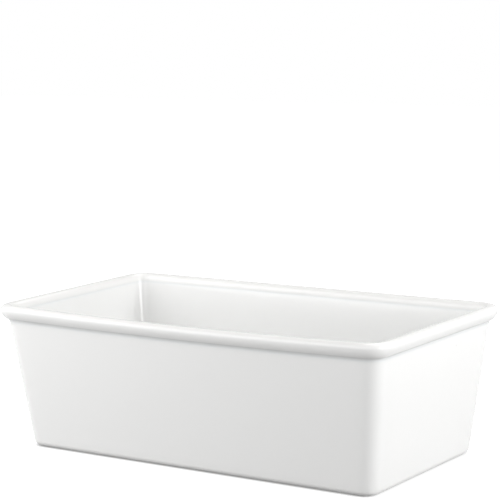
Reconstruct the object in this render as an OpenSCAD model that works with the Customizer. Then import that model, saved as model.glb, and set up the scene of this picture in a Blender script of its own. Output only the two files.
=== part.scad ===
/* [Overall size] */
// Length over the rolled rim
dish_length = 310; // [240:1:400]
// Width over the rolled rim
dish_width = 169; // [120:0.1:230]
// Height from the table to the top of the rim
dish_height = 101; // [60:0.1:140]

/* [Base] */
// Length of the base, before its edge is rounded
base_length = 276.4; // [200:0.1:310]
// Width of the base, before its edge is rounded
base_width = 135.4; // [90:0.1:160]
// Outer radius of the upright corners at the base
base_corner_r = 9.5; // [9:0.1:20]
// Radius of the rounded edge between walls and underside
foot_edge_r = 4; // [1.5:0.1:8]
// Width of the flat ring that the dish stands on
foot_ring_w = 6.5; // [3:0.1:12]
// How far the underside is hollowed inside that ring
foot_recess_h = 1.6; // [0.5:0.1:2.5]

/* [Walls] */
// Thickness of the wall at the middle of the rim
wall_t = 3.7; // [3:0.1:6]
// Thickness of the floor over the hollowed underside
floor_t = 5; // [4:0.1:10]
// Outer radius of the upright corners under the rim
corner_r = 10.5; // [9.5:0.1:24]
// Radius where the inner walls run into the floor
floor_fillet_r = 6; // [4:0.1:12]

/* [Rolled rim] */
// How far the rolled rim stands out from the wall
rim_out = 5.65; // [3:0.05:8]
// Radius of the soft inner corner where glaze pools under the rim
root_fillet_r = 1.5; // [0.8:0.1:2.5]

/* [Hidden] */
// How far the inner wall cuts into the roll, so that they meet in an edge
rim_bite = 0.05;
// How far a cut runs past the face that it opens
through = 2;
// Facets of the rounds that are blended by a hull, and of true rounds
blend_fn = 48;
edge_fn = 32;
round_fn = 64;

// The roll is as thick as the wall and its own overhang together
rim_r = (rim_out + wall_t + rim_bite) / 2;
rim_z = dish_height - rim_r;
root_z = rim_z - rim_r;
// Outer wall faces at the root of the rim, as half sizes
wall_x = dish_length / 2 - rim_out;
wall_y = dish_width / 2 - rim_out;
// Rise of the walls, and how far they lean out over it
lean_x = (wall_x - base_length / 2) / root_z;
lean_y = (wall_y - base_width / 2) / root_z;
// Growth of the corner radius over the same rise
corner_gain = (corner_r - base_corner_r) / root_z;
// The cavity keeps the same lean, and its corners are round about the same centres at the rim
cavity_r = corner_r - wall_t;
cavity_z = foot_recess_h + floor_t;
cavity_top = dish_height + through;

// Puts a copy of its child at each of the four corners of a rectangle of half sizes x and y
module four_corners(x, y, z) {
    for (side_x = [-1, 1], side_y = [-1, 1])
        translate([side_x * x, side_y * y, z])
            children();
}

// Sweeps a section round a rectangle of half sizes x and y with corners of radius r.
// The section's x runs outwards from that path, and its y upwards.
module sweep_round(x, y, r) {
    straight = [y - r, x - r];
    reach = [x - r, y - r];
    for (turn = [0 : 3]) {
        axis = turn % 2;
        rotate([0, 0, turn * 90]) {
            translate([reach[axis], straight[axis], 0])
                rotate([90, 0, 0])
                    linear_extrude(2 * straight[axis])
                        translate([r, 0])
                            children();
            translate([reach[axis], straight[axis], 0])
                rotate_extrude(angle = 90, $fn = round_fn)
                    translate([r, 0])
                        children();
        }
    }
}

// Solid prism with rounded upright corners
module round_slab(x, y, r, h) {
    for (size = [[x, y - r], [x - r, y]])
        translate([-size[0], -size[1], 0])
            cube([2 * size[0], 2 * size[1], h]);
    four_corners(x - r, y - r, 0)
        cylinder(h = h, r = r, $fn = round_fn);
}

// Leaning walls as a solid block, from the rounded foot edge up into the roll
module wall_block() {
    foot_corner_r = base_corner_r + corner_gain * foot_edge_r;
    top_corner_r = corner_r + corner_gain * (rim_z - root_z);
    foot_x = base_length / 2 + lean_x * foot_edge_r;
    foot_y = base_width / 2 + lean_y * foot_edge_r;
    top_x = wall_x + lean_x * (rim_z - root_z);
    top_y = wall_y + lean_y * (rim_z - root_z);
    hull() {
        four_corners(foot_x - foot_corner_r, foot_y - foot_corner_r, foot_edge_r)
            rotate_extrude($fn = blend_fn)
                translate([foot_corner_r - foot_edge_r, 0])
                    circle(r = foot_edge_r, $fn = edge_fn);
        four_corners(top_x - top_corner_r, top_y - top_corner_r, rim_z - through)
            cylinder(h = through, r = top_corner_r, $fn = blend_fn);
    }
}

// Round roll of the rim, and the glaze that fills the corner between its underside and the wall
module rim_section() {
    roll_x = rim_out - rim_r;
    // The fillet starts a little behind the wall's face, which leans in below the root
    fillet_x = root_fillet_r - lean_x * root_fillet_r;
    fillet_reach = rim_r + root_fillet_r;
    fillet_drop = sqrt(pow(fillet_reach, 2) - pow(fillet_x - roll_x, 2));
    fillet_z = rim_z - fillet_drop;
    // Where the fillet runs into the roll
    touch = rim_r / fillet_reach;
    touch_x = roll_x + touch * (fillet_x - roll_x);
    touch_z = rim_z - touch * fillet_drop;
    translate([roll_x, rim_z])
        circle(r = rim_r, $fn = round_fn);
    difference() {
        polygon([
            [fillet_x - root_fillet_r - through, fillet_z],
            [fillet_x, fillet_z],
            [touch_x, touch_z],
            [roll_x, rim_z],
            [fillet_x - root_fillet_r - through, rim_z],
        ]);
        translate([fillet_x, fillet_z])
            circle(r = root_fillet_r, $fn = round_fn);
    }
}

// The space that holds the food, with a fillet all round the floor
module cavity() {
    floor_x = wall_x - wall_t - lean_x * (rim_z - cavity_z - floor_fillet_r);
    floor_y = wall_y - wall_t - lean_y * (rim_z - cavity_z - floor_fillet_r);
    top_x = wall_x - wall_t + lean_x * (cavity_top - rim_z);
    top_y = wall_y - wall_t + lean_y * (cavity_top - rim_z);
    hull() {
        four_corners(floor_x - floor_fillet_r, floor_y - floor_fillet_r, cavity_z + floor_fillet_r)
            sphere(r = floor_fillet_r, $fn = blend_fn);
        four_corners(top_x - cavity_r, top_y - cavity_r, cavity_top - through)
            cylinder(h = through, r = cavity_r, $fn = blend_fn);
    }
}

// Shallow hollow of the underside, which leaves the ring that the dish stands on
module foot_recess() {
    inset = foot_edge_r + foot_ring_w;
    recess_x = base_length / 2 - inset;
    recess_y = base_width / 2 - inset;
    translate([0, 0, -through])
        round_slab(recess_x, recess_y, base_corner_r / 2, through + foot_recess_h);
}

// One piece of white glazed porcelain: walls, floor, rolled rim and foot ring
module dish() {
    color("whitesmoke")
        difference() {
            union() {
                wall_block();
                sweep_round(wall_x, wall_y, corner_r)
                    rim_section();
            }
            cavity();
            foot_recess();
        }
}

dish();
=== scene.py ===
# %% [markdown]
# # A deep baking dish in white glazed porcelain
# The real dish is one piece of porcelain clay, shaped in a mould, dried, dipped in glaze and fired.
# The frame brings in the measured solid. It could be dressed as it is, but it is as exact as a drawing.
# So this script keeps its sizes and models the surface of the real thing again: soft joins, a slight
# sag of the long rim, and a glaze that is thin on edges and deep in corners.

# %% Load the measured solid
import math

import bmesh
import bpy
from mathutils import Matrix, Vector, noise


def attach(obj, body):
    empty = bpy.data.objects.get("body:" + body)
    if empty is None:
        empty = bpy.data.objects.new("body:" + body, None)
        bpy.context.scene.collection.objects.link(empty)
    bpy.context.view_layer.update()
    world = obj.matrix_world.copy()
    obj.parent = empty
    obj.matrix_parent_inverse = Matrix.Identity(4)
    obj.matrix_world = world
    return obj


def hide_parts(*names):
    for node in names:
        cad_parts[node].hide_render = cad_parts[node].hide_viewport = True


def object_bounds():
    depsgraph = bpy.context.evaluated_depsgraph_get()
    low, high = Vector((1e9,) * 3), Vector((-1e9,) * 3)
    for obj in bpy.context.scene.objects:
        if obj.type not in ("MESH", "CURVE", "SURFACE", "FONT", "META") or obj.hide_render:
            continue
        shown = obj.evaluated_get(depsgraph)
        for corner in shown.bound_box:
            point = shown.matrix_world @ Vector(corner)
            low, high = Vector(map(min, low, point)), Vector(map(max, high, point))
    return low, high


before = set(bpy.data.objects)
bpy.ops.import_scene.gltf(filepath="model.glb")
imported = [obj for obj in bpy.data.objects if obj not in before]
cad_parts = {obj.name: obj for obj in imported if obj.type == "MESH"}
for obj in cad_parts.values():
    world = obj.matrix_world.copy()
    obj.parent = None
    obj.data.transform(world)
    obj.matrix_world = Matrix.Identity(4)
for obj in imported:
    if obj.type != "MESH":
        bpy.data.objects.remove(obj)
cad_low, cad_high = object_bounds()
MM = 0.001
print("solid, in mm:", [round(size / MM, 1) for size in cad_high - cad_low])


# %% [markdown]
# ## Sizes
# A potter works from a few sizes of the whole. They are in millimetres here, and are turned to metres
# only when a point is placed. Length, width and height could be typed in again, but they are read from
# the solid, so that the finished mesh always fits it. A size that belongs to one feature comes with it.

# %% Name the sizes of the whole
LENGTH = (cad_high.x - cad_low.x) / MM
WIDTH = (cad_high.y - cad_low.y) / MM
HEIGHT = cad_high.z / MM

WALL = 3.7               # wall thickness at the middle of the roll
RIM_OUT = 5.65           # how far the rolled rim stands out from the wall
RIM_R = 4.7              # radius of the roll on its inner side
BASE_X, BASE_Y = 138.2, 67.7    # half length and half width of the outer walls at the table
BASE_CORNER = 13.5       # reach of the soft upright corners at the base
RIM_CORNER = 15.0        # and under the rim

WALL_X = LENGTH / 2 - RIM_OUT
WALL_Y = WIDTH / 2 - RIM_OUT
RIM_Z = HEIGHT - RIM_R   # level of the middle of the roll on its inner side
ROOT_Z = RIM_Z - RIM_R   # level where the outer wall is as far out as WALL_X and WALL_Y
LEAN_X = (WALL_X - BASE_X) / ROOT_Z
LEAN_Y = (WALL_Y - BASE_Y) / ROOT_Z
CORNER_GAIN = (RIM_CORNER - BASE_CORNER) / ROOT_Z
leans = [round(math.degrees(math.atan(lean)), 2) for lean in (LEAN_X, LEAN_Y)]
print("lean of the end walls and side walls, in degrees:", leans)


# %% [markdown]
# ## The section of the wall
# A moulded dish is one closed section carried round a rounded rectangle. Here the section is a list of
# rings. Each ring says how long, how wide and how high the rectangle is at that level, how far its
# corners reach, and two marks that the glaze needs later: how deep the glaze lies there, which also
# darkens its colour in tight corners as painted shade, and whether the clay is bare. A box with bevels
# could give the walls, but its corners couldn't grow softer on the way up. A list of rings can, and it
# reads like the dish: foot, wall, roll, and down inside.

# %% Make a ring, and helpers that step along arcs
SPREAD = 1.42            # a soft corner's reach grows by this for each millimetre a ring moves outwards
HOLLOW_CORNER = 6.7      # least reach of a corner, for the hollow underneath
rings = []


def ring(x, y, r, z, pool=0.0, bare=0.0):
    """One level of the dish: half sizes, reach of the corners and height, with its glaze marks.

    The glaze mark runs from -1 on a sharp edge, where glaze draws back, to 1 in a tight corner, where it
    gathers and its colour is darkened as painted shade.
    Bare is 1 where the glaze is wiped off.
    """
    rings.append({"x": x, "y": y, "r": r, "z": z, "pool": pool, "bare": bare})


def outer_ring(z, inset=0.0, **marks):
    """A ring on the leaning outer wall, or set in from it under the base."""
    r = max(BASE_CORNER + CORNER_GAIN * z - SPREAD * inset, HOLLOW_CORNER)
    ring(BASE_X + LEAN_X * z - inset, BASE_Y + LEAN_Y * z - inset, r, z, **marks)


def roll_ring(u, z, **marks):
    """A ring of the roll, a distance u outside the face of the wall at its root."""
    ring(WALL_X + u, WALL_Y + u, RIM_CORNER + SPREAD * u, z, **marks)


def inner_ring(z, inset=0.0, r=None, **marks):
    """A ring on the leaning inner wall, or set in from it over the floor."""
    drop = RIM_Z - z
    wall_r = RIM_CORNER - SPREAD * WALL - CORNER_GAIN * drop
    ring(WALL_X - WALL - LEAN_X * drop - inset, WALL_Y - WALL - LEAN_Y * drop - inset,
         wall_r if r is None else r, z, **marks)


def steps(start, stop, count):
    """Evenly spaced values from start to stop, both included."""
    return [start + (stop - start) * i / (count - 1) for i in range(count)]


FILLET_TURNS = steps(4.0, 90.0, 14)     # for the foot's edge and the floor's fillet, in degrees
print("the outer wall moves out, in mm for each mm up:", round(LEAN_X, 4))


# %% [markdown]
# ### Foot
# Such ware stands on a flat ring that is wiped clean of glaze before firing, so that the dish doesn't
# stick to the kiln shelf. Inside the ring lies a shallow hollow that keeps its glaze. The hollow could
# be cut with a boolean, but a few more rings make it with clean faces and carry the glaze marks too.

# %% Rings of the underside and the foot
FOOT_EDGE_R = 4.0        # rounded edge between walls and underside
FOOT_RING = 6.5          # width of the ring that the dish stands on
FOOT_HOLLOW = 1.6        # depth of the hollow inside that ring
HOLLOW_EDGE = FOOT_EDGE_R + FOOT_RING
HOLLOW_INSETS = 12.0, 5.0, 2.0          # rings on the flat of the hollow, in from its edge
HOLLOW_SOFT = 0.6        # roundness of the hollow's edges
RING_INSETS = HOLLOW_EDGE - 1.2, FOOT_EDGE_R + 0.3      # between these the ring is quite flat
GLAZE_LINE = 20.0        # how far up the rounded edge the glaze is wiped off, in degrees
for inset in HOLLOW_INSETS:
    outer_ring(FOOT_HOLLOW, inset=HOLLOW_EDGE + inset, pool=0.1)
for turn in steps(90.0, 0.0, 5):
    angle = math.radians(turn)
    outer_ring(FOOT_HOLLOW - HOLLOW_SOFT + HOLLOW_SOFT * math.sin(angle),
               inset=HOLLOW_EDGE + HOLLOW_SOFT * math.cos(angle), pool=0.4)
for turn in steps(0.0, 90.0, 4):
    angle = math.radians(turn)
    outer_ring(HOLLOW_SOFT / 2 * (1 - math.sin(angle)),
               inset=HOLLOW_EDGE - HOLLOW_SOFT / 2 * (1 - math.cos(angle)), bare=1.0)
for inset in steps(*RING_INSETS, 5):
    outer_ring(0.0, inset=inset, bare=1.0)
for turn in FILLET_TURNS:
    angle = math.radians(turn)
    glazed = turn > GLAZE_LINE
    outer_ring(FOOT_EDGE_R * (1 - math.cos(angle)), inset=FOOT_EDGE_R * (1 - math.sin(angle)),
               bare=0.0 if glazed else 1.0, pool=-0.2 if glazed else 0.0)
print("rings of the foot:", len(rings))

# %% [markdown]
# ### Outer wall
# The wall leans out so that the dish leaves its mould. It is nearly straight, so two rings could make
# it. It gets more, just often enough for the firing's slight waves to bend it.

# %% Rings of the outer wall
CREST_RISE = 3.2         # height of the roll above its widest line
ROLL_FALL = 7.0          # and below it, down to the wall
ROOT_FILLET = 1.9        # height of the glaze that fills the corner below the roll
ROOT_START = HEIGHT - CREST_RISE - ROLL_FALL - ROOT_FILLET
GAP = 2.0                # plain wall left without a ring above the foot's edge and below the root
for z in steps(FOOT_EDGE_R + GAP, ROOT_START - GAP, 24):
    outer_ring(z)
print("outer wall ends, in mm below the top:", round(HEIGHT - ROOT_START, 1))

# %% [markdown]
# ### Rolled rim
# The roll stiffens the edge and keeps it from warping. Seen in section it isn't quite a circle: the clay
# is rounded over at the top, is widest high up, and leans back to the wall below, where glaze fills the
# corner with a small fillet. A round bar on a curve could stand for it, but its shading would be wrong
# below the widest line. So the lower curve is a superellipse, between a circle and a straight slope,
# and a quadratic curve blends it into the wall. On top the glaze is thin, because it draws back there.

# %% Rings of the root fillet and the roll
WIDEST_Z = HEIGHT - CREST_RISE
DROOP = 1.78             # power of the lower curve; 2 is an ellipse, 1 a straight slope
BLEND_TURN = 70.0        # where the fillet takes over from the lower curve, in degrees
ROLL_END = 176.0         # where the inner wall takes over, in degrees round from the outer side
ROLL_X = RIM_OUT - RIM_R # how far outside the wall's face the middle of the roll lies
TURN = 5.0               # the first step past a ring that is already there, in degrees
LEAD = 0.8               # from the last ring of the wall to the start of the fillet


def under_roll(turn):
    """Distance from the wall and height of the roll below its widest line."""
    angle = math.radians(turn)
    return Vector((RIM_OUT * math.cos(angle) ** (2 / DROOP),
                   WIDEST_Z - ROLL_FALL * math.sin(angle) ** (2 / DROOP)))


fillet_top = under_roll(BLEND_TURN)
slope = fillet_top - under_roll(BLEND_TURN - 1.0)
corner = Vector((0.0, fillet_top.y - slope.y / slope.x * fillet_top.x))
fillet_foot = Vector((LEAN_Y * (ROOT_START - ROOT_Z), ROOT_START))
outer_ring(ROOT_START - LEAD, pool=0.3)
for t in steps(0.0, 1.0, 9)[:-1]:
    blend = fillet_foot * (1 - t) ** 2 + corner * 2 * t * (1 - t) + fillet_top * t ** 2
    roll_ring(*blend, pool=1.0 - t / 2)
for turn in steps(BLEND_TURN, 0.0, 22):
    roll_ring(*under_roll(turn))
for turn in steps(TURN, 90.0, 16):
    angle = math.radians(turn)
    roll_ring(ROLL_X + RIM_R * math.cos(angle), WIDEST_Z + CREST_RISE * math.sin(angle),
              pool=-math.sin(angle))
for turn in steps(90.0 + TURN, ROLL_END, 16):
    angle = math.radians(turn)
    roll_ring(ROLL_X + RIM_R * math.cos(angle), RIM_Z + RIM_R * math.sin(angle), pool=-math.sin(angle))
print("roll, in mm: stands out", RIM_OUT, "and is", round(CREST_RISE + ROLL_FALL, 1), "high outside")

# %% [markdown]
# ### Inner wall and floor
# Inside, a faint hollow line ends the roll. Then the wall leans as it does outside and turns into the
# flat floor with a generous fillet, so that food can be scraped out. A solidify modifier could make the
# inside from the outside, but it would carry the roll and the foot inwards as well. Rings don't.

# %% Rings of the inner wall, the fillet and the floor
FLOOR_Z = 6.6            # top of the floor above the table
FLOOR_FILLET = 6.0       # where the inner walls run into the floor
FLOOR_INSETS = 2.0, 6.0, 12.0           # rings on the flat of the floor, in from the fillet
FLAT_CORNER = 2.0        # reach of their corners
FLOOR_CORNER = RIM_CORNER - SPREAD * WALL - CORNER_GAIN * (RIM_Z - FLOOR_Z - FLOOR_FILLET)
LINE_DEPTH = 0.12        # how deep the faint line below the roll is
LINE = (0.5, 0.6), (1.0, 1.0), (1.6, 0.6), (2.4, 0.1)   # its levels, and the share of that depth there
PLAIN = 4.0, 1.0         # from the roll to the first plain ring, and from the last to the fillet
# The faint line's rings also darken the glaze's colour there, as painted shade.
for drop, depth in LINE:
    inner_ring(RIM_Z - drop, inset=-LINE_DEPTH * depth, pool=depth)
for z in steps(RIM_Z - PLAIN[0], FLOOR_Z + FLOOR_FILLET + PLAIN[1], 22):
    inner_ring(z)
for turn in FILLET_TURNS:
    angle = math.radians(turn)
    inner_ring(FLOOR_Z + FLOOR_FILLET * (1 - math.sin(angle)),
               inset=FLOOR_FILLET * (1 - math.cos(angle)),
               r=FLOOR_CORNER * math.cos(angle) + FLAT_CORNER * math.sin(angle), pool=0.4)
for inset in FLOOR_INSETS:
    inner_ring(FLOOR_Z, inset=FLOOR_FILLET + inset, r=FLAT_CORNER, pool=0.3)
print("rings in all:", len(rings))


# %% [markdown]
# ## Walk round a ring
# Every ring gets the same number of points in the same order, so that rings join point to point into
# clean four-sided faces. The corners of the real dish aren't true arcs, which would be the easy way: the
# clay turns tightly in the middle of the corner and eases into the walls. A superellipse does that. Its
# points are placed by the direction that the surface faces, in even steps, so that they are densest
# where it turns fastest.

# %% Place the points of one ring
CORNER_STEPS = 20        # an even number, so that each corner has a middle point
LONG_STEPS, SHORT_STEPS = 64, 32
SOFTNESS = 3.0           # power of the superellipse; 2 is a circle


def soft_corner(angle):
    """Point of a corner of reach 1 where the surface faces the angle, between 0 and a quarter turn."""
    c, s = max(math.cos(angle), 0.0), max(math.sin(angle), 0.0)
    power = SOFTNESS / (SOFTNESS - 1)
    size = (c ** power + s ** power) ** (1 / SOFTNESS)
    return Vector((c ** (power - 1), s ** (power - 1))) / size


def ring_points(level):
    """Points of one ring, anticlockwise from the end of the right side, in millimetres."""
    x, y, r = level["x"], level["y"], level["r"]
    points = []
    for number, (side_x, side_y) in enumerate(((1, 1), (-1, 1), (-1, -1), (1, -1))):
        centre = Vector((side_x * (x - r), side_y * (y - r)))
        quarter = Matrix.Rotation(math.radians(90.0 * number), 2)
        points += [centre + r * (quarter @ soft_corner(math.radians(90.0 * i / CORNER_STEPS)))
                   for i in range(CORNER_STEPS + 1)]
        along_x = number % 2 == 0
        count = LONG_STEPS if along_x else SHORT_STEPS
        start = points[-1]
        stop = Vector((-start.x, start.y)) if along_x else Vector((start.x, -start.y))
        points += [start.lerp(stop, i / count) for i in range(1, count)]
    return [Vector((p.x, p.y, level["z"])) for p in points]


print("points in each ring:", len(ring_points(rings[0])))


# %% [markdown]
# ## What the kiln does
# Porcelain softens in the fire. The long front rim sinks by almost two millimetres in its middle, and
# walls never stay quite flat, which shows in the way light runs over the glaze. A bump map could hint at
# the waves but not at the sag, so both are small moves of the points themselves.

# %% Sag and slight waves
FRONT_SAG = 1.73         # how far the middle of the front rim sinks
SAG_HEIGHT, SAG_DEPTH = 3, 2            # powers with which it fades towards the foot and the back
WAVE = 0.12              # most that a wall moves in or out
WAVE_LENGTH = 70.0       # size of one wave
STEADY = 0.92            # share of the height from which the roll holds the wall straight
MIDDLE = 0.5             # floor and underside don't wave nearer the middle than this share


def fired(p):
    """Where a point of the wet dish lies after firing, in millimetres."""
    up = min(max(p.z / HEIGHT, 0.0), 1.0)
    middle = max(0.0, 1.0 - (p.x / (WALL_X - RIM_CORNER)) ** 2)
    front = min(max(-p.y / WALL_Y, 0.0), 1.0)
    sag = FRONT_SAG * middle * up ** SAG_HEIGHT * front ** SAG_DEPTH
    wave = WAVE * math.sin(math.pi * min(up, STEADY) / STEADY) * noise.noise(p / WAVE_LENGTH)
    side = Vector((p.x / WALL_X, p.y / WALL_Y, 0.0))
    push = side.normalized() * wave if side.length > MIDDLE else Vector((0.0, 0.0, 0.0))
    return p + push - Vector((0.0, 0.0, sag))


front_rim = Vector((0.0, -WALL_Y, HEIGHT))
print("middle of the front rim sinks, in mm:", round((front_rim - fired(front_rim)).z, 2))


# %% [markdown]
# ## Join the rings into one closed mesh
# Four-sided faces join each ring to the next. The underside and the floor could be closed with one
# many-sided face each, but such faces shade badly. So each gets a grid: the last ring is its edge, the
# middle point of each rounded corner is a corner of the grid, and each inner point is blended from the
# four sides. Two values per point go with the mesh for the glaze: how deep it lies, which also carries
# the painted shade in tight corners, and whether the clay is bare.

# %% Fill a closed edge with a grid
def flat_grid(edge, across, along):
    """Points of a grid inside a closed edge, as rows. The edge starts at the grid's first corner."""
    far = edge[:across + 1]
    left = edge[across:across + along + 1]
    near = edge[across + along:2 * across + along + 1][::-1]
    right = (edge[2 * across + along:] + edge[:1])[::-1]
    grid = [far]
    for j in range(1, along):
        v = j / along
        row = [right[j]]
        for i in range(1, across):
            u = i / across
            sides = far[i] * (1 - v) + near[i] * v + right[j] * (1 - u) + left[j] * u
            corners = (far[0] * (1 - u) + far[-1] * u) * (1 - v) + (near[0] * (1 - u) + near[-1] * u) * v
            row.append(sides - corners)
        grid.append(row + [left[j]])
    return grid + [near]


grid_size = LONG_STEPS + CORNER_STEPS, SHORT_STEPS + CORNER_STEPS
print("faces in each grid:", grid_size[0] * grid_size[1])


# %% [markdown]
# ### Make the mesh
# The dish is one closed skin with smooth faces. It could be several objects that overlap, but fired clay
# has no seams, and one skin keeps the shading smooth from the wall into the roll.

# %% Build the dish
def build_dish(name):
    """The whole dish as one mesh with smooth faces."""
    bm = bmesh.new()
    pool = bm.verts.layers.float.new("pool")
    bare = bm.verts.layers.float.new("bare")

    def place(point, level):
        v = bm.verts.new(point * MM)
        v[pool], v[bare] = level["pool"], level["bare"]
        return v

    rows = [[place(fired(p), level) for p in ring_points(level)] for level in rings]
    count = len(rows[0])
    for low, high in zip(rows, rows[1:]):
        for i in range(count):
            j = (i + 1) % count
            bm.faces.new((low[i], low[j], high[j], high[i]))
    half = CORNER_STEPS // 2
    for row, level in ((rows[0], rings[0]), (rows[-1], rings[-1])):
        edge = row[half:] + row[:half]
        known = {tuple(v.co / MM): v for v in edge}
        grid = flat_grid([v.co / MM for v in edge], *grid_size)
        net = [[known.get(tuple(p)) or place(p, level) for p in line] for line in grid]
        for near, far in zip(net, net[1:]):
            for i in range(len(near) - 1):
                bm.faces.new((near[i], near[i + 1], far[i + 1], far[i]))
    bmesh.ops.recalc_face_normals(bm, faces=bm.faces)
    mesh = bpy.data.meshes.new(name)
    bm.to_mesh(mesh)
    bm.free()
    mesh.polygons.foreach_set("use_smooth", [True] * len(mesh.polygons))
    dish = bpy.data.objects.new(name, mesh)
    bpy.context.scene.collection.objects.link(dish)
    return dish


dish = build_dish("porcelain_dish")
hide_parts("dish")
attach(dish, "root")
odd_faces = sum(len(face.vertices) != 4 for face in dish.data.polygons)
print("faces:", len(dish.data.polygons), "of them not four-sided:", odd_faces)


# %% [markdown]
# ## Colours and nodes
# Materials are small trees of nodes. They could be drawn by hand in the shader editor, but a script
# makes the same tree each time. One function turns a written colour into the linear light that the
# renderer works in, and one adds a node with its settings and links.

# %% Helpers for materials
def linear(hex_colour, alpha=1.0):
    """An sRGB hex colour as linear red, green, blue and alpha."""
    parts = [int(hex_colour[i:i + 2], 16) / 255 for i in (1, 3, 5)]
    return [c / 12.92 if c <= 0.04045 else ((c + 0.055) / 1.055) ** 2.4 for c in parts] + [alpha]


def add(tree, kind, settings=None, **inputs):
    """Adds a node. Settings are its own fields; inputs are values, or sockets to link from."""
    node = tree.nodes.new(kind)
    for key, value in (settings or {}).items():
        setattr(node, key, value)
    for key, value in inputs.items():
        socket = node.inputs[int(key[1:])] if key[1:].isdigit() else node.inputs[key.replace("_", " ")]
        if isinstance(value, bpy.types.NodeSocket):
            tree.links.new(value, socket)
        else:
            socket.default_value = value
    return node


def new_material(name):
    """An empty node material and its tree."""
    material = bpy.data.materials.new(name)
    material.use_nodes = True
    material.node_tree.nodes.clear()
    return material, material.node_tree


def ramp(tree, factor, *stops):
    """A colour ramp from pairs of place and hex colour."""
    node = add(tree, "ShaderNodeValToRGB", Fac=factor)
    elements = node.color_ramp.elements
    while len(elements) < len(stops):
        elements.new(0.5)
    for element, (place, colour) in zip(elements, stops):
        element.position = place
        element.color = linear(colour)
    return node.outputs["Color"]


print("mid grey #808080 as linear light:", round(linear("#808080")[0], 3))


# %% [markdown]
# ## Glazed porcelain
# Hard porcelain is white, dense and a little translucent. Its glaze is a clear glass about a third of a
# millimetre thick, fused to the body, with an IOR near 1.5 and a wet shine. The eye sees a white diffuse
# body, soft edges, slow waves in the reflections, and now and then a speck. The glass could be a shell
# of its own over the body, but it is too thin to see from the side. So one shader has both: the base
# colour is the body, and its reflection is the glass. The little light that passes through nearly four
# millimetres of wall is left out.

# %% Make the glaze
CLOUD_SIZE = 0.045       # metres over which the shine grows softer and sharper
PEEL_SIZE = 0.009        # metres from one slow wave of the glaze to the next
SHINE = 0.13, 0.17       # roughness where the glaze is smoothest and where it is dullest
GLAZE_IOR = 1.5
SPECK_SPACING = 0.06     # metres between grains of iron that the sieve let through
SPECK_SIZE = 0.0008      # metres across each, twice the real size so that the picture can hold it
SPECK_SHARE = 0.35       # how much of the iron's colour comes through the glaze
glaze, tree = new_material("clear glaze on hard porcelain")
place = add(tree, "ShaderNodeTexCoord").outputs["Object"]
pool = add(tree, "ShaderNodeAttribute", {"attribute_name": "pool"}).outputs["Fac"]
bare = add(tree, "ShaderNodeAttribute", {"attribute_name": "bare"}).outputs["Fac"]
cloud = add(tree, "ShaderNodeTexNoise", Vector=place, Scale=1 / CLOUD_SIZE, Detail=3.0, Roughness=0.5)
peel = add(tree, "ShaderNodeTexNoise", Vector=place, Scale=1 / PEEL_SIZE, Detail=2.0, Roughness=0.45)
depth = add(tree, "ShaderNodeMapRange", Value=pool, From_Min=-1.0, From_Max=1.0, To_Min=0.0, To_Max=1.0)
# The glaze is a shade darker and cooler where it lies deep in tight corners and creases: partly the tint
# of thick clear glaze, partly painted shade.
glaze_tint_and_painted_shade = ramp(tree, depth.outputs[0], (0.0, "#F4F3F1"), (0.5, "#F4F4F3"), (1.0, "#EEF0F0"))
gloss = add(tree, "ShaderNodeMapRange", Value=cloud.outputs[0], From_Min=0.3, From_Max=0.7,
            To_Min=SHINE[0], To_Max=SHINE[1])
skin = add(tree, "ShaderNodeBump", Height=peel.outputs[0], Strength=0.05, Distance=0.001)
cells = add(tree, "ShaderNodeTexVoronoi", {"feature": "F1"}, Vector=place, Scale=1 / SPECK_SPACING)
speck = add(tree, "ShaderNodeMapRange", {"interpolation_type": "SMOOTHSTEP"},
            Value=cells.outputs["Distance"], From_Min=SPECK_SIZE / SPECK_SPACING / 2,
            From_Max=SPECK_SIZE / SPECK_SPACING, To_Min=SPECK_SHARE, To_Max=0.0)
body = add(tree, "ShaderNodeMix", {"data_type": "RGBA"}, _0=speck.outputs[0], _6=glaze_tint_and_painted_shade,
           _7=linear("#A8A29A"))
glass = add(tree, "ShaderNodeBsdfPrincipled", Base_Color=body.outputs[2], Roughness=gloss.outputs[0],
            IOR=GLAZE_IOR, Normal=skin.outputs[0])
print("nodes of the glaze:", len(tree.nodes))

# %% [markdown]
# ### Bare foot ring
# Where the glaze is wiped off, the fired clay shows: matt, a shade warmer, with a fine grain that catches
# dirt from the shelf. It could be a second material on its own faces, but the edge of the glaze is never
# a straight line. So the bare mark of the rings mixes the two, and noise moves their border to and fro.

# %% Make the bare clay and mix it in
GRAIN_SIZE = 0.0008      # metres, several times a real grain so that it can show
WANDER_SIZE = 0.006      # metres between turns of the glaze's edge
WANDER = 0.6             # how much the noise can move it, against the bare mark's 1
BORDER = 0.76, 0.84      # sum of mark and noise where glaze ends and where bare clay begins
CLAY_ROUGHNESS, CLAY_IOR = 0.62, 1.5
grain = add(tree, "ShaderNodeTexNoise", Vector=place, Scale=1 / GRAIN_SIZE, Detail=4.0, Roughness=0.6)
clay_tint = ramp(tree, grain.outputs[0], (0.3, "#D8D1C4"), (0.6, "#E8E3D8"))
rough_skin = add(tree, "ShaderNodeBump", Height=grain.outputs[0], Strength=0.35, Distance=0.0003)
clay = add(tree, "ShaderNodeBsdfPrincipled", Base_Color=clay_tint, Roughness=CLAY_ROUGHNESS,
           IOR=CLAY_IOR, Normal=rough_skin.outputs[0])
wander = add(tree, "ShaderNodeTexNoise", Vector=place, Scale=1 / WANDER_SIZE, Detail=2.0)
line = add(tree, "ShaderNodeMath", {"operation": "MULTIPLY_ADD"}, _0=wander.outputs[0], _1=WANDER,
           _2=bare)
wiped = add(tree, "ShaderNodeMapRange", Value=line.outputs[0], From_Min=BORDER[0], From_Max=BORDER[1],
            To_Min=0.0, To_Max=1.0)
surface = add(tree, "ShaderNodeMixShader", _0=wiped.outputs[0], _1=glass.outputs[0], _2=clay.outputs[0])
add(tree, "ShaderNodeOutputMaterial", Surface=surface.outputs[0])
dish.data.materials.append(glaze)
print("nodes with the bare clay:", len(tree.nodes))


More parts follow.
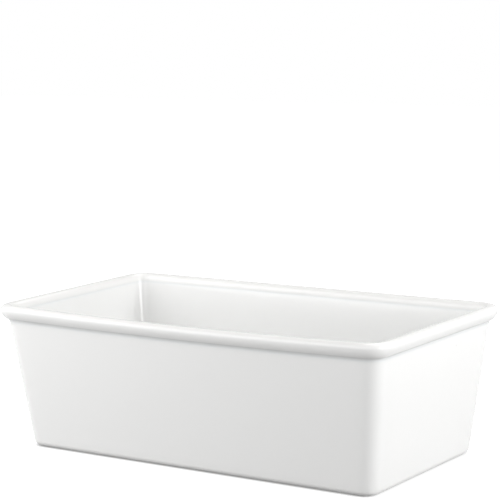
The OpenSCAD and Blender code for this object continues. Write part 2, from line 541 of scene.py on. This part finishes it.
# %% [markdown]
# ## Table and backdrop
# The dish stands on a plain white table in front of a white wall. A plain white surface under the lamps
# would do, but it would show a pool of light below each. So the table is a pale surface for light that
# bounces, and adds light of its own for the camera and in the glaze. Right at the foot the dish hides
# the room, so that light fades there and leaves the thin dark line that seats the dish on the table. In
# the picture the line is strong along the front and hardly there along the right side, and the fade
# follows that.

# %% Make the table's surface
TABLE_COLOUR = "#8C8C8C"
TABLE_GLOW = 0.88        # light of its own near the dish, where the shadow has to show
NEAR, FAR = 0.25, 0.7    # the table turns to plain white between these distances, in metres
CONTACT = 0.004          # how near the dish the table's own light fades, in metres
GAP_LIGHT = 0.2          # share of it that is left right under the foot
LIT_GAP = 1.0            # and along the right side, as in the picture
GAP_TURN = 0.130, 0.140  # metres right of the middle between which one passes into the other
OPEN = 0.70              # share of open room at which it is whole again


def seen_white(tree):
    """One for rays from the camera, in a reflection or through glass, and zero for bounced light."""
    path = add(tree, "ShaderNodeLightPath")
    seen = add(tree, "ShaderNodeMath", {"operation": "MAXIMUM"}, _0=path.outputs["Is Camera Ray"],
               _1=path.outputs["Is Glossy Ray"])
    return add(tree, "ShaderNodeMath", {"operation": "MAXIMUM"}, _0=seen.outputs[0],
               _1=path.outputs["Is Transmission Ray"]).outputs[0]


paint, tree = new_material("matt white table")
plain = add(tree, "ShaderNodeBsdfDiffuse", Color=linear(TABLE_COLOUR))
spot = add(tree, "ShaderNodeTexCoord").outputs["Object"]
away = add(tree, "ShaderNodeVectorMath", {"operation": "LENGTH"}, _0=spot)
share = add(tree, "ShaderNodeMapRange", {"interpolation_type": "SMOOTHSTEP"}, Value=away.outputs["Value"],
            From_Min=NEAR, From_Max=FAR, To_Min=TABLE_GLOW, To_Max=1.0)
# Painted contact shadow: the table's own light is dimmed by occlusion near the foot, and not at all along
# the right end.
hidden = add(tree, "ShaderNodeAmbientOcclusion", {"samples": 8}, Distance=CONTACT)
aside = add(tree, "ShaderNodeSeparateXYZ", Vector=spot).outputs["X"]
least = add(tree, "ShaderNodeMapRange", Value=aside, From_Min=GAP_TURN[0], From_Max=GAP_TURN[1],
            To_Min=GAP_LIGHT, To_Max=LIT_GAP)
lit = add(tree, "ShaderNodeMapRange", Value=hidden.outputs["AO"], From_Min=0.0, From_Max=OPEN,
          To_Min=least.outputs[0], To_Max=1.0)
shown = add(tree, "ShaderNodeMath", {"operation": "MULTIPLY"}, _0=share.outputs[0], _1=lit.outputs[0])
glow = add(tree, "ShaderNodeEmission", Color=(1.0, 1.0, 1.0, 1.0), Strength=shown.outputs[0])
both = add(tree, "ShaderNodeAddShader", _0=plain.outputs[0], _1=glow.outputs[0])
mix = add(tree, "ShaderNodeMixShader", _0=seen_white(tree), _1=plain.outputs[0], _2=both.outputs[0])
add(tree, "ShaderNodeOutputMaterial", Surface=mix.outputs[0])
print("nodes of the table's surface:", len(tree.nodes))

# %% Lay the table
TABLE = 3.0              # half size of the table, in metres
mesh = bpy.data.meshes.new("table")
mesh.from_pydata([(-TABLE, -TABLE, 0), (TABLE, -TABLE, 0), (TABLE, TABLE, 0), (-TABLE, TABLE, 0)],
                 [], [(0, 1, 2, 3)])
table = bpy.data.objects.new("table", mesh)
bpy.context.scene.collection.objects.link(table)
mesh.materials.append(paint)
print("table, in metres:", 2 * TABLE)

# %% [markdown]
# ### White room
# The wall behind could be a second plane, but then its corner with the table would have to be hidden.
# The world is white to the camera and in the glaze instead, and gives next to no light of its own. So
# it is the lamps that shape the dish.

# %% Paint the room
ROOM_LIGHT = 0.02        # a faint fill, so that no corner goes black
world = bpy.data.worlds.new("white studio")
world.use_nodes = True
tree = world.node_tree
tree.nodes.clear()
dim = add(tree, "ShaderNodeBackground", Color=(1.0, 1.0, 1.0, 1.0), Strength=ROOM_LIGHT)
white = add(tree, "ShaderNodeBackground", Color=(1.0, 1.0, 1.0, 1.0), Strength=1.0)
mix = add(tree, "ShaderNodeMixShader", _0=seen_white(tree), _1=dim.outputs[0], _2=white.outputs[0])
add(tree, "ShaderNodeOutputWorld", Surface=mix.outputs[0])
bpy.context.scene.world = world
print("light from the room:", ROOM_LIGHT)


# %% [markdown]
# ## Studio light
# A glaze shows its lamps, so a studio hangs large soft boxes round the dish. Light from one side only
# would be simpler, but the picture has a bright right end, a front that darkens towards it, and a soft
# shade in the inner corner. These eight lamps come close to that. Their strengths were fitted by
# rendering the dish under one lamp at a time and adding the pictures up. Then they were rounded, and
# the right box was taken down a touch so that the bright end keeps its tones.

# %% Hang the lamps
AIM_HEIGHT = 0.05        # metres above the table at which every lamp points


def soft_box(name, azimuth, elevation, distance, width, height, watts):
    """A rectangular lamp that faces the dish. Azimuth 0 is in front of the long side, 90 on its right."""
    a, e = math.radians(azimuth), math.radians(elevation)
    away = Vector((math.sin(a) * math.cos(e), -math.cos(a) * math.cos(e), math.sin(e)))
    light = bpy.data.lights.new(name, "AREA")
    light.shape = "RECTANGLE"
    light.size, light.size_y = width, height
    light.energy = watts
    lamp = bpy.data.objects.new(name, light)
    lamp.visible_camera = False
    bpy.context.scene.collection.objects.link(lamp)
    lamp.location = Vector((0, 0, AIM_HEIGHT)) + away * distance
    lamp.rotation_euler = away.to_track_quat("Z", "Y").to_euler()


soft_box("front wall", 0, 20, 1.5, 2.4, 1.2, 6.6)
soft_box("front box", -5, 33, 1.0, 0.8, 0.7, 2.1)
soft_box("low front box", 0, 12, 1.0, 0.6, 0.4, 0.6)
soft_box("left box", -60, 33, 1.0, 0.8, 0.7, 4.4)
soft_box("low left strip", -45, 3, 0.6, 0.5, 0.2, 0.8)
soft_box("right box", 90, 12, 1.0, 0.6, 0.4, 6.35)
soft_box("back right box", 120, 35, 1.1, 0.7, 0.6, 2.7)
soft_box("top box", 180, 60, 1.2, 0.8, 0.8, 4.3)
watts = sum(light.energy for light in bpy.data.lights)
print("lamps:", len(bpy.data.lights), "watts in all:", round(watts, 1))


# %% [markdown]
# ## Camera
# The camera stands low, to the right of the front, with a long lens, and is turned a little about its
# own axis. It could be placed by eye, but then no edge would quite meet the picture's. So its place and
# lens were fitted to the outline of the dish, together with the sizes of the solid.

# %% Set the camera
AZIMUTH, ELEVATION, ROLL = 34.103, 8.276, -1.177        # degrees
DISTANCE = 1.280265      # metres
AIM = Vector((0.004889, 0.0, 0.138542))
FOCAL_PIXELS = 1890.043  # focal length in pixels of the picture
PICTURE = 500            # and the picture's width in pixels
SENSOR = 36.0            # millimetres
NEAREST = 0.01           # metres

a, e, roll = map(math.radians, (AZIMUTH, ELEVATION, ROLL))
back = Vector((math.sin(a) * math.cos(e), -math.cos(a) * math.cos(e), math.sin(e)))
level = (-back).cross(Vector((0, 0, 1))).normalized()
upright = level.cross(-back)
right = math.cos(roll) * level + math.sin(roll) * upright
up = -math.sin(roll) * level + math.cos(roll) * upright
lens = bpy.data.cameras.new("camera")
lens.sensor_width = SENSOR
lens.lens = FOCAL_PIXELS / PICTURE * SENSOR
lens.clip_start = NEAREST
camera = bpy.data.objects.new("camera", lens)
turned = Matrix((right, up, back)).transposed().to_4x4()
camera.matrix_world = Matrix.Translation(AIM + back * DISTANCE) @ turned
bpy.context.scene.collection.objects.link(camera)
bpy.context.scene.camera = camera
bpy.context.scene.view_settings.view_transform = "Standard"
print("lens, in mm:", round(lens.lens, 1))
